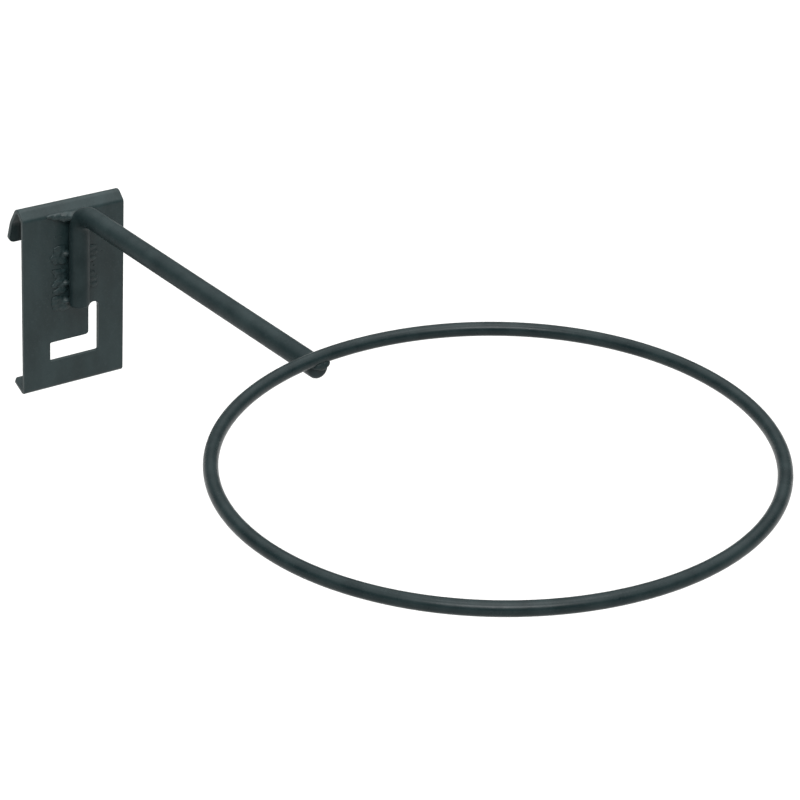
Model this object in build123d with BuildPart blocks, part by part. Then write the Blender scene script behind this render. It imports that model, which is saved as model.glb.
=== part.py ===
"""Wall-hung ring holder: a folded hook plate, a bent rod welded to it, and a wire hoop on the rod's tip.

Millimetres. +X is across the plate, -Y is out into the room, +Z is up. The origin is the seat of the
hook: the middle of the inside of its top fold, which bears on the upper wire of the wall panel.
"""
from math import cos, radians, sin
import os

from build123d import *

os.makedirs("parts", exist_ok=True)

# ---- back plate: one sheet, folded into a hook at the top and a short lip at the bottom.
# Depths are behind the front face and heights above the bottom edge, both to the middle of the sheet.
sheet_thickness = 1.8
plate_width = 46.0
lip_end_depth = 8.7
lip_end_height = 4.4
lip_fold_height = 0.9
crease_height = 75.7
ridge_depth = 5.0
ridge_height = 79.6
tail_bend_depth = 9.7        # the tail leans out from the ridge, then hangs more nearly upright
tail_bend_height = 72.3
tail_end_depth = 12.7
tail_end_height = 63.0
lip_fold_radius = 1.0        # fold radii, to the middle of the sheet
crease_fold_radius = 1.4
ridge_fold_radius = 1.7
tail_bend_radius = 10.0
tail_corner_radius = 3.0     # rounded corners of the sheet's two ends
lip_corner_radius = 1.6
sheet_edge_radius = 0.35
seat_depth = 4.7             # the hook's seat
seat_height = 77.75

# ---- slot in the lower half of the plate: an upright limb, and a foot that runs to the left of it
slot_left = -11.1            # across the plate from its middle
slot_right = 11.4
slot_bottom = 12.7           # above the bottom edge
foot_height = 8.5
limb_width = 4.8
limb_top = 34.9
limb_end_roundness = 0.98    # of a full half circle
slot_corner_radius = 0.6
slot_inner_radius = 1.4

# ---- rod: an upright leg against the plate, an elbow, and the arm
rod_diameter = 8.2
leg_end_height = 37.0        # above the plate's bottom edge
elbow_height = 77.8          # where the middle lines of the leg and the arm meet
elbow_radius = 8.0
arm_reach = 153.0            # from there to the hoop's wire
arm_overrun = 1.4            # the rod runs on past the middle of the hoop's wire
arm_droop = 2.5              # degrees below square to the plate
arm_yaw = 3.0                # degrees towards +X
tip_radius = 2.4
leg_end_radius = 0.8

# ---- hoop: round wire, welded down into the top of the arm
hoop_diameter = 190.0        # to the middle of the wire
wire_diameter = 5.2
hoop_set_down = 1.9          # how far the weld sinks the wire into the rod
hoop_rise = 1.0              # degrees, outwards from the arm
hoop_roll = 3.0              # degrees, +X side up

# ---- welds: lumps of weld metal, each as long as twice its half length
leg_tacks = [                # name, side of the leg, height above the bottom edge, half length, half width
    ("left_upper_tack", -1, 58.5, 3.6, 3.0),
    ("left_middle_tack", -1, 47.5, 5.2, 2.9),
    ("left_lower_tack", -1, 37.9, 3.0, 3.1),
    ("right_upper_tack", 1, 56.9, 3.4, 2.7),
    ("right_lower_tack", 1, 45.3, 3.3, 2.8),
]
tack_offset = 3.6            # from the leg's middle line, across the plate
tack_stand_off = 1.3         # in front of the plate
tack_end_radius = 0.9
elbow_weld_left = -9.8       # across the plate from its middle
elbow_weld_length = 8.0
elbow_weld_radius = 2.4
elbow_weld_stand_off = 0.8   # in front of the plate
elbow_weld_drop = 0.8        # below the crease
hoop_weld_offset = 2.7       # either side of the arm's middle line
hoop_weld_height = 2.3       # above the arm's middle line
hoop_weld_half_length = 3.0
hoop_weld_half_width = 1.7

length_tolerance = 0.01
behind_face = 2 * sheet_thickness

# ---- worked-out values
rod_radius = rod_diameter / 2
wire_radius = wire_diameter / 2
hoop_radius = hoop_diameter / 2
half_sheet = sheet_thickness / 2
front_y = -seat_depth
bottom_z = -seat_height
leg_y = front_y - rod_radius
limb_left = slot_right - limb_width
limb_end_radius = limb_width / 2 * limb_end_roundness
foot_top = slot_bottom + foot_height


def heading(rise, yaw):
    """Unit direction out of the wall, raised by rise and turned towards +X by yaw, in degrees."""
    level = cos(radians(rise))
    return Vector(sin(radians(yaw)) * level, -cos(radians(yaw)) * level, sin(radians(rise)))


def sheet_end_corners(part):
    """The short straight edges at the corners of the sheet's lip and tail, which lie behind its face."""
    lines = part.edges().filter_by(GeomType.LINE)
    short = lines.filter_by(lambda edge: abs(edge.length - sheet_thickness) < length_tolerance)
    return short.filter_by(lambda edge: edge.center().Y > front_y + behind_face)


# Side view of the plate: x is the depth behind the front face, y the height above the bottom edge.
side_view = Plane(origin=(0, front_y, bottom_z), x_dir=(0, 1, 0), z_dir=(1, 0, 0))
# Front view of the plate, on its front face: x is across the plate, y the height above the bottom edge.
front_view = Plane(origin=(0, front_y, bottom_z), x_dir=(1, 0, 0), z_dir=(0, -1, 0))

with BuildPart() as back_plate:
    with BuildSketch(side_view) as folded_sheet:
        with BuildLine():
            FilletPolyline(
                (lip_end_depth, lip_end_height),
                (half_sheet, lip_fold_height),
                (half_sheet, crease_height),
                (ridge_depth, ridge_height),
                (tail_bend_depth, tail_bend_height),
                (tail_end_depth, tail_end_height),
                radius=[lip_fold_radius, crease_fold_radius, ridge_fold_radius, tail_bend_radius],
            )
        trace(line_width=sheet_thickness)
    extrude(amount=plate_width / 2, both=True)

    fillet(sheet_end_corners(back_plate).sort_by(Axis.Z)[-2:], radius=tail_corner_radius)
    fillet(sheet_end_corners(back_plate).sort_by(Axis.Z)[:2], radius=lip_corner_radius)
    fillet(back_plate.faces().filter_by(Axis.X).edges(), radius=sheet_edge_radius)

    with BuildSketch(front_view):
        with BuildLine():
            FilletPolyline(
                (slot_left, slot_bottom),
                (slot_right, slot_bottom),
                (slot_right, limb_top),
                (limb_left, limb_top),
                (limb_left, foot_top),
                (slot_left, foot_top),
                close=True,
                radius=[
                    slot_corner_radius,
                    slot_corner_radius,
                    limb_end_radius,
                    limb_end_radius,
                    slot_inner_radius,
                    slot_corner_radius,
                ],
            )
        make_face()
    extrude(amount=-behind_face, mode=Mode.SUBTRACT)

back_plate.part.label = "back_plate"
export_step(back_plate.part, "parts/back_plate.step")

elbow = Vector(0, leg_y, bottom_z + elbow_height)
leg_end = Vector(0, leg_y, bottom_z + leg_end_height)
arm_heading = heading(-arm_droop, arm_yaw)
arm_tip = elbow + arm_heading * (arm_reach + arm_overrun)

# The hoop crosses the arm at right angles in plan, and its middle line passes over the arm's.
hoop_outward = heading(hoop_rise, arm_yaw)
level_across = Vector(cos(radians(arm_yaw)), sin(radians(arm_yaw)), 0)
hoop_across = level_across.rotate(Axis((0, 0, 0), hoop_outward), hoop_roll)
hoop_up = hoop_across.cross(-hoop_outward)
arm_up = level_across.cross(-arm_heading)
crossing = elbow + arm_heading * arm_reach
hoop_start = crossing + arm_up * (rod_radius + wire_radius - hoop_set_down)

with BuildPart() as ring_hoop:
    with BuildSketch(Plane(origin=hoop_start, x_dir=hoop_outward, z_dir=hoop_across)):
        Circle(wire_radius)
    revolve(axis=Axis(hoop_start + hoop_outward * hoop_radius, hoop_up))

ring_hoop.part.label = "ring_hoop"
export_step(ring_hoop.part, "parts/ring_hoop.step")

with BuildPart() as arm_rod:
    with BuildLine() as rod_line:
        FilletPolyline(leg_end, elbow, arm_tip, radius=elbow_radius)
    with BuildSketch(Plane(origin=leg_end, z_dir=(0, 0, 1))):
        Circle(rod_radius)
    sweep(path=rod_line.wires()[0])
    fillet(arm_rod.edges().filter_by(GeomType.CIRCLE).sort_by(Axis.Y)[0], radius=tip_radius)
    fillet(arm_rod.faces().sort_by(Axis.Z)[0].edges(), radius=leg_end_radius)
    add(ring_hoop.part, mode=Mode.SUBTRACT)

arm_rod.part.label = "arm_rod"
export_step(arm_rod.part, "parts/arm_rod.step")

# The tacks fill the grooves beside the leg: a round bead, less what the plate and the rod take of it.
for name, side, height, half_length, half_width in leg_tacks:
    with BuildPart() as tack:
        with BuildSketch(Plane.XY.offset(bottom_z + height - half_length)):
            with Locations((side * tack_offset, front_y - tack_stand_off)):
                Circle(half_width)
            with Locations((0, leg_y)):
                Circle(rod_radius, mode=Mode.SUBTRACT)
            with Locations((0, front_y + half_width)):
                Rectangle(plate_width, 2 * half_width, mode=Mode.SUBTRACT)
        extrude(amount=2 * half_length)
        outer_face = tack.faces().filter_by(GeomType.CYLINDER).sort_by(lambda face: abs(face.center().X))[-1]
        outer_arcs = outer_face.edges().filter_by(GeomType.CIRCLE)
        fillet(outer_arcs, radius=tack_end_radius)
    tack.part.label = name
    export_step(tack.part, f"parts/{name}.step")

# The elbow's weld lies along the crease, beside the elbow and on both folds of the sheet.
with BuildPart() as elbow_weld:
    with BuildSketch(Plane(origin=(elbow_weld_left, front_y, bottom_z), x_dir=(0, 1, 0), z_dir=(1, 0, 0))):
        with Locations((-elbow_weld_stand_off, crease_height - elbow_weld_drop)):
            Circle(elbow_weld_radius)
        add(folded_sheet.sketch_local, mode=Mode.SUBTRACT)
    extrude(amount=elbow_weld_length)
    add(arm_rod.part, mode=Mode.SUBTRACT)

elbow_weld.part.label = "elbow_weld"
export_step(elbow_weld.part, "parts/elbow_weld.step")

# A lump of weld metal, round about its long axis, in each angle between the wire and the rod.
for name, side in [("hoop_weld_left", -1), ("hoop_weld_right", 1)]:
    middle = crossing + arm_up * hoop_weld_height + hoop_across * (side * hoop_weld_offset)
    with BuildPart() as hoop_weld:
        with BuildSketch(Plane(origin=middle, x_dir=hoop_outward, z_dir=hoop_up)):
            Ellipse(hoop_weld_half_length, hoop_weld_half_width)
            with Locations((0, -hoop_weld_half_width)):
                Rectangle(2 * hoop_weld_half_length, 2 * hoop_weld_half_width, mode=Mode.SUBTRACT)
        revolve(axis=Axis(middle, hoop_outward))
        add(arm_rod.part, mode=Mode.SUBTRACT)
        add(ring_hoop.part, mode=Mode.SUBTRACT)
    hoop_weld.part.label = name
    export_step(hoop_weld.part, f"parts/{name}.step")
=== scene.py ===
"""Looks for the wall-hung ring holder: satin coated steel, weld beads, a pale studio and the camera."""

import math
import random

import bmesh
import bpy
import numpy as np
from mathutils import Matrix, Vector, noise


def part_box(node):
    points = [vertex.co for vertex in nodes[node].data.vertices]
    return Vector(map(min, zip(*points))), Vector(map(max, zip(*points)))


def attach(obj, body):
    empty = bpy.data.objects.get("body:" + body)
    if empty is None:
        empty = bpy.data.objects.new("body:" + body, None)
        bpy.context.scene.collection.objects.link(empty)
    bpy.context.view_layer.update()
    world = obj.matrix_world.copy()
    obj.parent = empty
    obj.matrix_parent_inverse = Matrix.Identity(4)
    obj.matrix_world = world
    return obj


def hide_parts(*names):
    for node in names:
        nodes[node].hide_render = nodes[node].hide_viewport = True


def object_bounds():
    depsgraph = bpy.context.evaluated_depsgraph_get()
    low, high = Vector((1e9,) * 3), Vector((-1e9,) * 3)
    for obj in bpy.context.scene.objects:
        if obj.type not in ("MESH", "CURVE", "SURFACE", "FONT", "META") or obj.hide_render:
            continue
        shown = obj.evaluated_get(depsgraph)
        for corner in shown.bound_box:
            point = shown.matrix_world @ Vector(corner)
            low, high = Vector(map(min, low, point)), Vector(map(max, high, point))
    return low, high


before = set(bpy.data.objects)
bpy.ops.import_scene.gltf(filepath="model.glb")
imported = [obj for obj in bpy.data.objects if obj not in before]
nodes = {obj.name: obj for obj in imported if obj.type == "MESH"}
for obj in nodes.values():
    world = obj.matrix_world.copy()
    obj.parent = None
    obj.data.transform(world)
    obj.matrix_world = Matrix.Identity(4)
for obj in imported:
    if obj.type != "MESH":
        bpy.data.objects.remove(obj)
cad_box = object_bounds()

MM = 0.001

# ---- camera: where it looks from, in degrees and metres
CAMERA_AZIMUTH = -38.121
CAMERA_ELEVATION = 26.577
CAMERA_ROLL = 3.319
CAMERA_DISTANCE = 0.948034
CAMERA_TARGET = Vector((0.01523, -0.2001, -0.00425))
CAMERA_LENS_MM = 122.797
CAMERA_CLIP_END = 50.0
SENSOR_MM = 36.0

# ---- studio
FLOOR_DROP = 0.16            # from the object's lowest point down to the floor
FLOOR_HALF_WIDTH = 12.0
FLOOR_SEGMENTS = 8
FLOOR_COLOUR = (0.50, 0.50, 0.495)
FLOOR_ROUGHNESS = 0.9
WORLD_STOPS = (              # sine of the height above the horizon, brightness
    (0.0, 0.60),
    (0.12, 0.50),
    (0.30, 0.20),
    (0.50, 0.60),
    (0.70, 2.30),
    (1.0, 2.10),
)
LIGHT_AIM = Vector((0, -0.15, 0))
SOFT_BOXES = (               # name, position, width and height, watts
    ("overhead_box", Vector((0.2, -0.2, 4.0)), (2.4, 2.4), 70),
    ("front_box", Vector((-1.5, -2.1, 3.1)), (2.4, 1.4), 130),
)

# ---- coating: dark, middle and pale tones as linear colours
PLATE_TONES = ((0.005, 0.0130, 0.0138), (0.010, 0.0210, 0.0222), (0.022, 0.034, 0.036))
ROD_TONES = ((0.006, 0.0125, 0.0135), (0.012, 0.0205, 0.0215), (0.022, 0.032, 0.034))
WIRE_TONES = ((0.003, 0.0085, 0.0095), (0.008, 0.0155, 0.0165), (0.018, 0.027, 0.029))
SOOT = (0.003, 0.006, 0.007)
CLOUD_DETAIL = 5.0
CLOUD_RANGE = (0.36, 0.66)   # of the noise, from all dark to all middle tone
FINE_DETAIL = 2.0
FLECK_SCALE = 1800.0         # noise scales are in cells to the metre
FLECK_RANGE = (0.58, 0.80)
FLECK_SHARE = 0.6            # of the pale tone, at the most
SMOKE_SCALE = 420.0          # soot on the weld metal
SMOKE_DETAIL = 4.0
SMOKE_RANGE = (0.52, 0.74)
GLOSS_SCALE = 260.0          # uneven roughness
GLOSS_RANGE = (0.3, 0.7)
PEEL_SCALE = 650.0           # the slow ripple of a sprayed coat
PEEL_DEPTH = 0.00012         # bump depths are in metres
GRAIN_SCALE = 3200.0         # the fine grain on top of it
GRAIN_DEPTH = 0.00003

# ---- hoop wire: segments, and how far the hand-bent hoop strays from a true circle
HOOP_SEGMENTS = 288
WIRE_SEGMENTS = 28
HOOP_STRAYS = (              # waves round the hoop; mm and phase in its plane; mm and phase out of it
    (1, 0.2, -50.0, 0.0, 0.0),
    (2, 0.15, 50.0, 0.2, 190.0),
    (3, 0.15, -75.0, 0.1, 110.0),
)

# ---- welds, in mm
LUMP_SUBDIVISIONS = 4
WELD_VOXEL = 0.3
WELD_SMOOTHING = 6
SMOOTHING_FACTOR = 0.6
RIPPLE_SIZE = 1.3
FINE_RIPPLE_RATE = 2.3       # a finer ripple on top, as a multiple of the first one's rate
FINE_RIPPLE_SHARE = 0.5
RIPPLE_DRIFT = Vector((3.7, 1.9, 5.3))  # to a part of the noise for each seed
RIPPLE_HEIGHT = 0.12         # on the crusts beside the leg
BEAD_RIPPLE_HEIGHT = 0.04    # on the smoother beads at the elbow and the hoop

TACKS = ("left_upper_tack", "left_middle_tack", "left_lower_tack", "right_upper_tack", "right_lower_tack")
BRIDGE_REACH = 3.6           # from the leg's middle, across the plate
BRIDGE_STAND_OFF = 0.8       # in front of the plate
BRIDGE_HEIGHTS = (0.35, 0.6)  # shares of the tack's height
BRIDGE_RADII = (1.9, 1.1, 1.0)
CRUST_PITCH = 2.0            # rows of lumps up the leg
CRUST_FEWEST_ROWS = 3
CRUST_REACHES = (5.0, 6.8, 8.4)
CRUST_STAND_OFF = 0.1
CRUST_RADII = (1.9, 0.55, 1.3)
CRUST_SIZES = (0.75, 1.2)    # how much a lump's radii vary
CRUST_STRAY_ACROSS = 0.6
CRUST_STRAY_UP = 0.5

ELBOW_LUMPS = (              # across the plate, out from it, up from the crease bead's middle, radii
    (-9.8, 0.0, 1.0, (3.0, 0.8, 1.0)),
    (-7.0, 0.3, 0.5, (3.4, 1.2, 1.7)),
    (-4.2, 0.8, 0.0, (3.0, 1.9, 2.3)),
    (-2.2, 2.0, 0.5, (3.0, 2.6, 2.0)),
    (0.6, 2.2, 1.3, (3.4, 2.6, 1.3)),
)
ELBOW_SEED = 8

HOOP_WELDS = ("hoop_weld_left", "hoop_weld_right")
HOOP_LUMPS = (               # across the arm, outwards along it, up from the welds' middle, radii
    (2.4, 0.0, 0.2, (1.6, 2.6, 1.7)),
    (1.2, 1.4, 0.2, (2.0, 1.8, 1.6)),
    (0.4, 1.6, -0.4, (1.8, 1.5, 1.6)),
    (0.6, -1.9, 0.6, (2.0, 1.5, 1.4)),
)
HOOP_SEED = 20

SPATTER_SEED = 5
SPATTER_PER_TACK = 14
SPATTER_REACH = 7.2          # from the leg's middle, and how far it spreads
SPATTER_SPREAD = 2.2
SPATTER_SPREAD_UP = 0.5      # as a share of the tack's height
SPATTER_RADII = (0.14, 0.42)
SPATTER_SHAPE = (1.2, 0.6, 1.1)
SPATTER_SUBDIVISIONS = 2


def new_material(name):
    """An empty node material with its shader and output joined."""
    material = bpy.data.materials.new(name)
    material.use_nodes = True
    tree = material.node_tree
    tree.nodes.clear()
    shader = tree.nodes.new("ShaderNodeBsdfPrincipled")
    output = tree.nodes.new("ShaderNodeOutputMaterial")
    tree.links.new(shader.outputs["BSDF"], output.inputs["Surface"])
    return material, tree, shader


def add_noise(tree, place, scale, detail=3.0, stretch=(1, 1, 1)):
    """A noise value from 0 to 1 that stays put on the object, with scale cells to the metre."""
    mapping = tree.nodes.new("ShaderNodeMapping")
    mapping.inputs["Scale"].default_value = stretch
    tree.links.new(place, mapping.inputs["Vector"])
    cloud = tree.nodes.new("ShaderNodeTexNoise")
    cloud.inputs["Scale"].default_value = scale
    cloud.inputs["Detail"].default_value = detail
    tree.links.new(mapping.outputs["Vector"], cloud.inputs["Vector"])
    return cloud.outputs["Fac"]


def add_range(tree, value, low, high, out_low, out_high):
    """The value, with low to high stretched to out_low to out_high and cut off there."""
    stretch = tree.nodes.new("ShaderNodeMapRange")
    stretch.inputs["From Min"].default_value = low
    stretch.inputs["From Max"].default_value = high
    stretch.inputs["To Min"].default_value = out_low
    stretch.inputs["To Max"].default_value = out_high
    tree.links.new(value, stretch.inputs["Value"])
    return stretch.outputs["Result"]


def add_mix(tree, factor, first, second):
    """A colour between first and second, each a colour or a node's output."""
    mix = tree.nodes.new("ShaderNodeMix")
    mix.data_type = "RGBA"
    tree.links.new(factor, mix.inputs["Factor"])
    for socket, colour in ((mix.inputs["A"], first), (mix.inputs["B"], second)):
        if isinstance(colour, tuple):
            socket.default_value = (*colour, 1)
        else:
            tree.links.new(colour, socket)
    return mix.outputs["Result"]


def add_bump(tree, height, distance, strength, below=None):
    """A bump of the height value, on top of the bump below."""
    bump = tree.nodes.new("ShaderNodeBump")
    bump.inputs["Distance"].default_value = distance
    bump.inputs["Strength"].default_value = strength
    tree.links.new(height, bump.inputs["Height"])
    if below is not None:
        tree.links.new(below, bump.inputs["Normal"])
    return bump.outputs["Normal"]


def make_coat(name, tones, specular, roughness, clouds, streak=(1, 1, 1), peel=0.30, grain=0.22, soot=0.0):
    """Satin coating: cloudy tone with flecks and soot, uneven gloss, and the ripple of a sprayed coat.

    Clouds is their noise scale and streak stretches them; peel and grain are bump strengths from 0 to 1.
    """
    material, tree, shader = new_material(name)
    dark, middle, pale = tones
    place = tree.nodes.new("ShaderNodeTexCoord").outputs["Object"]
    cloud = add_noise(tree, place, clouds, detail=CLOUD_DETAIL, stretch=streak)
    fleck = add_noise(tree, place, FLECK_SCALE, detail=FINE_DETAIL)
    tone = add_mix(tree, add_range(tree, cloud, *CLOUD_RANGE, 0.0, 1.0), dark, middle)
    tone = add_mix(tree, add_range(tree, fleck, *FLECK_RANGE, 0.0, FLECK_SHARE), tone, pale)
    if soot > 0:
        smoke = add_noise(tree, place, SMOKE_SCALE, detail=SMOKE_DETAIL)
        tone = add_mix(tree, add_range(tree, smoke, *SMOKE_RANGE, 0.0, soot), tone, SOOT)
    tree.links.new(tone, shader.inputs["Base Color"])
    gloss = add_noise(tree, place, GLOSS_SCALE, stretch=streak)
    tree.links.new(add_range(tree, gloss, *GLOSS_RANGE, *roughness), shader.inputs["Roughness"])
    shader.inputs["Specular IOR Level"].default_value = specular
    slow_height = add_noise(tree, place, PEEL_SCALE, detail=FINE_DETAIL)
    fine_height = add_noise(tree, place, GRAIN_SCALE, detail=FINE_DETAIL)
    slow_bump = add_bump(tree, slow_height, PEEL_DEPTH, peel)
    fine_bump = add_bump(tree, fine_height, GRAIN_DEPTH, grain, below=slow_bump)
    tree.links.new(fine_bump, shader.inputs["Normal"])
    return material


def make_stage():
    """A pale floor well below the object."""
    edit = bmesh.new()
    bmesh.ops.create_grid(edit, x_segments=FLOOR_SEGMENTS, y_segments=FLOOR_SEGMENTS, size=FLOOR_HALF_WIDTH)
    mesh = bpy.data.meshes.new("studio_floor")
    edit.to_mesh(mesh)
    edit.free()
    floor = bpy.data.objects.new("studio_floor", mesh)
    floor.location.z = cad_box[0][2] - FLOOR_DROP
    bpy.context.scene.collection.objects.link(floor)
    material, _, shader = new_material("pale_floor")
    shader.inputs["Base Color"].default_value = (*FLOOR_COLOUR, 1)
    shader.inputs["Roughness"].default_value = FLOOR_ROUGHNESS
    mesh.materials.append(material)


def make_soft_box(name, position, size, power):
    """An area light at position, turned to face the object."""
    light = bpy.data.lights.new(name, "AREA")
    light.shape = "RECTANGLE"
    light.size, light.size_y = size
    light.energy = power
    holder = bpy.data.objects.new(name, light)
    holder.location = position
    holder.rotation_euler = (LIGHT_AIM - position).to_track_quat("-Z", "Y").to_euler()
    bpy.context.scene.collection.objects.link(holder)


def make_world():
    """A studio's surround: bright overhead, dim a little above the horizon, paler at it."""
    world = bpy.data.worlds.new("studio")
    world.use_nodes = True
    tree = world.node_tree
    direction = tree.nodes.new("ShaderNodeTexCoord").outputs["Generated"]
    split = tree.nodes.new("ShaderNodeSeparateXYZ")
    tree.links.new(direction, split.inputs["Vector"])
    ramp = tree.nodes.new("ShaderNodeValToRGB")
    for place, _ in WORLD_STOPS[1:-1]:
        ramp.color_ramp.elements.new(place)
    for element, (place, level) in zip(ramp.color_ramp.elements, WORLD_STOPS):
        element.position = place
        element.color = (level, level, level, 1)
    tree.links.new(split.outputs["Z"], ramp.inputs["Fac"])
    tree.links.new(ramp.outputs["Color"], tree.nodes["Background"].inputs["Color"])
    bpy.context.scene.world = world


def make_camera():
    """The camera, from its azimuth and elevation about the target, with its own roll."""
    azimuth = math.radians(CAMERA_AZIMUTH)
    elevation = math.radians(CAMERA_ELEVATION)
    roll = math.radians(CAMERA_ROLL)
    back = Vector((
        math.sin(azimuth) * math.cos(elevation),
        -math.cos(azimuth) * math.cos(elevation),
        math.sin(elevation),
    ))
    level_right = Vector((0, 0, 1)).cross(back).normalized()
    level_up = back.cross(level_right)
    right = level_right * math.cos(roll) + level_up * math.sin(roll)
    up = level_up * math.cos(roll) - level_right * math.sin(roll)
    turn = Matrix((right, up, back)).transposed().to_4x4()
    camera_data = bpy.data.cameras.new("camera")
    camera_data.lens = CAMERA_LENS_MM
    camera_data.sensor_width = SENSOR_MM
    camera_data.clip_end = CAMERA_CLIP_END
    camera = bpy.data.objects.new("camera", camera_data)
    camera.matrix_world = Matrix.Translation(CAMERA_TARGET + back * CAMERA_DISTANCE) @ turn
    bpy.context.scene.collection.objects.link(camera)
    bpy.context.scene.camera = camera


def make_piece(name, edit, material, stands_for=()):
    """A smooth-shaded object from a bmesh, riding on the body, in place of the CAD nodes it stands for."""
    mesh = bpy.data.meshes.new(name)
    edit.to_mesh(mesh)
    edit.free()
    mesh.polygons.foreach_set("use_smooth", [True] * len(mesh.polygons))
    mesh.materials.append(material)
    piece = bpy.data.objects.new(name, mesh)
    bpy.context.scene.collection.objects.link(piece)
    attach(piece, "root")
    for node in stands_for:
        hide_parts(node)


def hoop_frame():
    """The hoop's middle, its plane's two directions and normal, its radius and its wire's radius."""
    towards_room = Vector((0, -1, 0))
    mesh = nodes["ring_hoop"].data
    points = np.empty(3 * len(mesh.vertices))
    mesh.vertices.foreach_get("co", points)
    points = points.reshape(-1, 3)
    low, high = points.min(axis=0), points.max(axis=0)
    middle = (low + high) / 2
    normal = Vector(np.linalg.svd(points - middle, full_matrices=False)[2][2])
    if normal.z < 0:
        normal = -normal
    middle = Vector(middle)
    heights = (points - np.array(middle)) @ np.array(normal)
    wire_radius = (heights.max() - heights.min()) / 2
    flat = points - np.array(middle) - np.outer(heights, np.array(normal))
    radius = np.linalg.norm(flat, axis=1).max() - wire_radius
    outward = (towards_room - normal * normal.dot(towards_room)).normalized()
    return middle, outward, normal.cross(outward), normal, radius, wire_radius


def make_hoop(material):
    """The hoop: round wire swept round a circle that strays a little, as bent wire does."""
    middle, outward, across, normal, radius, wire_radius = hoop_frame()
    edit = bmesh.new()
    rings = []
    for i in range(HOOP_SEGMENTS):
        angle = 2 * math.pi * i / HOOP_SEGMENTS
        reach = radius
        lift = 0.0
        for waves, in_plane, phase, out_of_plane, lift_phase in HOOP_STRAYS:
            reach += in_plane * MM * math.cos(waves * angle + math.radians(phase))
            lift += out_of_plane * MM * math.sin(waves * angle + math.radians(lift_phase))
        spoke = outward * math.cos(angle) + across * math.sin(angle)
        centre = middle + spoke * reach + normal * lift
        ring = []
        for j in range(WIRE_SEGMENTS):
            turn = 2 * math.pi * j / WIRE_SEGMENTS
            around = spoke * math.cos(turn) + normal * math.sin(turn)
            ring.append(edit.verts.new(centre + around * wire_radius))
        rings.append(ring)
    for ring, following in zip(rings, rings[1:] + rings[:1]):
        for j in range(WIRE_SEGMENTS):
            k = (j + 1) % WIRE_SEGMENTS
            edit.faces.new((ring[j], ring[k], following[k], following[j]))
    bmesh.ops.recalc_face_normals(edit, faces=edit.faces)
    make_piece("hoop_wire", edit, material, ("ring_hoop",))


def blend_lumps(lumps, seed, ripple):
    """A bmesh of overlapping ellipsoids run together like weld metal, with a rippled skin."""
    edit = bmesh.new()
    for middle, radii in lumps:
        place = Matrix.Translation(Vector(middle) * MM) @ Matrix.Diagonal((*(Vector(radii) * MM), 1))
        bmesh.ops.create_icosphere(edit, subdivisions=LUMP_SUBDIVISIONS, radius=1.0, matrix=place)
    mesh = bpy.data.meshes.new("lumps")
    edit.to_mesh(mesh)
    edit.free()
    holder = bpy.data.objects.new("lumps", mesh)
    bpy.context.scene.collection.objects.link(holder)
    remesh = holder.modifiers.new("remesh", "REMESH")
    remesh.mode = "VOXEL"
    remesh.voxel_size = WELD_VOXEL * MM
    smooth = holder.modifiers.new("smooth", "SMOOTH")
    smooth.factor = SMOOTHING_FACTOR
    smooth.iterations = WELD_SMOOTHING
    shaped = bpy.data.meshes.new_from_object(holder.evaluated_get(bpy.context.evaluated_depsgraph_get()))
    bpy.data.objects.remove(holder)
    bpy.data.meshes.remove(mesh)
    edit = bmesh.new()
    edit.from_mesh(shaped)
    bpy.data.meshes.remove(shaped)
    edit.normal_update()
    drift = RIPPLE_DRIFT * seed
    for vertex in edit.verts:
        where = vertex.co / (RIPPLE_SIZE * MM) + drift
        swell = noise.noise(where) + FINE_RIPPLE_SHARE * noise.noise(where * FINE_RIPPLE_RATE)
        vertex.co += vertex.normal * swell * ripple * MM
    return edit


def make_tack_bead(name, seed, material):
    """A low crust of weld metal beside the leg, with one bridge across the groove to the leg."""
    draw = random.Random(seed)
    front_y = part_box("back_plate")[0][1] / MM
    low, high = (Vector(corner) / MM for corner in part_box(name))
    side = -1 if low.x < 0 else 1
    height = high.z - low.z
    bridge_z = low.z + height * draw.uniform(*BRIDGE_HEIGHTS)
    lumps = [((side * BRIDGE_REACH, front_y - BRIDGE_STAND_OFF, bridge_z), BRIDGE_RADII)]
    rows = max(CRUST_FEWEST_ROWS, round(height / CRUST_PITCH))
    for row in range(rows):
        row_z = low.z + height * (row + 0.5) / rows
        for reach in CRUST_REACHES:
            size = draw.uniform(*CRUST_SIZES)
            x = side * (reach + draw.uniform(-CRUST_STRAY_ACROSS, CRUST_STRAY_ACROSS))
            z = row_z + draw.uniform(-CRUST_STRAY_UP, CRUST_STRAY_UP)
            lumps.append(((x, front_y - CRUST_STAND_OFF, z), Vector(CRUST_RADII) * size))
    bead = blend_lumps(lumps, seed, RIPPLE_HEIGHT)
    make_piece(name.replace("_tack", "_bead"), bead, material, (name,))


def make_elbow_bead(material):
    """The bead along the crease, which hangs below it beside the leg and runs up over the elbow."""
    front_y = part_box("back_plate")[0][1] / MM
    low, high = (Vector(corner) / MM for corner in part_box("elbow_weld"))
    crease_z = (low.z + high.z) / 2
    lumps = [((x, front_y - out, crease_z + up), radii) for x, out, up, radii in ELBOW_LUMPS]
    bead = blend_lumps(lumps, ELBOW_SEED, BEAD_RIPPLE_HEIGHT)
    make_piece("elbow_bead", bead, material, ("elbow_weld",))


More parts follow.
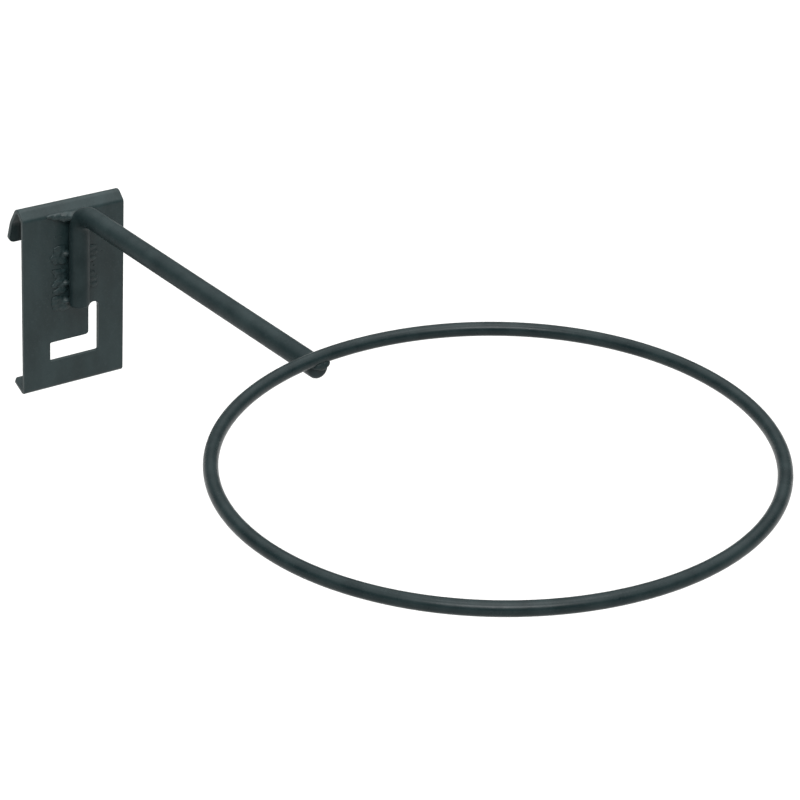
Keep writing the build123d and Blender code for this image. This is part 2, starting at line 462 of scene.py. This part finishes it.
def make_hoop_beads(material):
    """Fillets of weld metal in the angles between the wire and the rod's tip, a left and a right one."""
    boxes = [[Vector(corner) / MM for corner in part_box(name)] for name in HOOP_WELDS]
    left, right = ((low + high) / 2 for low, high in boxes)
    middle = (left + right) / 2
    across = (right - left).normalized()
    outward = Vector((across.y, -across.x, 0)).normalized()
    for seed, (name, side) in enumerate(zip(HOOP_WELDS, (-1, 1)), start=HOOP_SEED):
        lumps = [(middle + across * side * reach + outward * out + Vector((0, 0, up)), radii)
                 for reach, out, up, radii in HOOP_LUMPS]
        bead = blend_lumps(lumps, seed, BEAD_RIPPLE_HEIGHT)
        make_piece(name.replace("_weld", "_bead"), bead, material, (name,))


def make_spatter(material):
    """Droplets of weld metal that froze on the plate close to the tacks."""
    front_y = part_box("back_plate")[0][1]
    draw = random.Random(SPATTER_SEED)
    edit = bmesh.new()
    for name in TACKS:
        low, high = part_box(name)
        side = -1 if low[0] < 0 else 1
        for _ in range(SPATTER_PER_TACK):
            x = side * draw.gauss(SPATTER_REACH, SPATTER_SPREAD) * MM
            z = draw.gauss((low[2] + high[2]) / 2, (high[2] - low[2]) * SPATTER_SPREAD_UP)
            radius = draw.uniform(*SPATTER_RADII) * MM
            place = Matrix.Translation((x, front_y, z)) @ Matrix.Diagonal((*SPATTER_SHAPE, 1))
            bmesh.ops.create_icosphere(edit, subdivisions=SPATTER_SUBDIVISIONS, radius=radius, matrix=place)
    make_piece("weld_spatter", edit, material)


make_camera()
make_stage()
make_world()
for name, position, size, power in SOFT_BOXES:
    make_soft_box(name, position, size, power)

plate_coat = make_coat("plate_coat", PLATE_TONES, specular=0.26, roughness=(0.36, 0.50), clouds=70.0,
                       streak=(1.6, 1.6, 0.7))
rod_coat = make_coat("rod_coat", ROD_TONES, specular=0.11, roughness=(0.38, 0.50), clouds=110.0)
wire_coat = make_coat("wire_coat", WIRE_TONES, specular=0.15, roughness=(0.24, 0.36), clouds=120.0)
bead_coat = make_coat("bead_coat", ROD_TONES, specular=0.11, roughness=(0.42, 0.55), clouds=260.0)
weld_coat = make_coat("weld_coat", PLATE_TONES, specular=0.26, roughness=(0.36, 0.56), clouds=300.0,
                      peel=0.5, grain=0.4, soot=0.4)

for name, material in (("back_plate", plate_coat), ("arm_rod", rod_coat)):
    nodes[name].data.materials.clear()
    nodes[name].data.materials.append(material)
make_hoop(wire_coat)
for seed, name in enumerate(TACKS):
    make_tack_bead(name, seed, weld_coat)
make_elbow_bead(weld_coat)
make_hoop_beads(bead_coat)
make_spatter(weld_coat)

bpy.context.scene.view_settings.view_transform = "Standard"
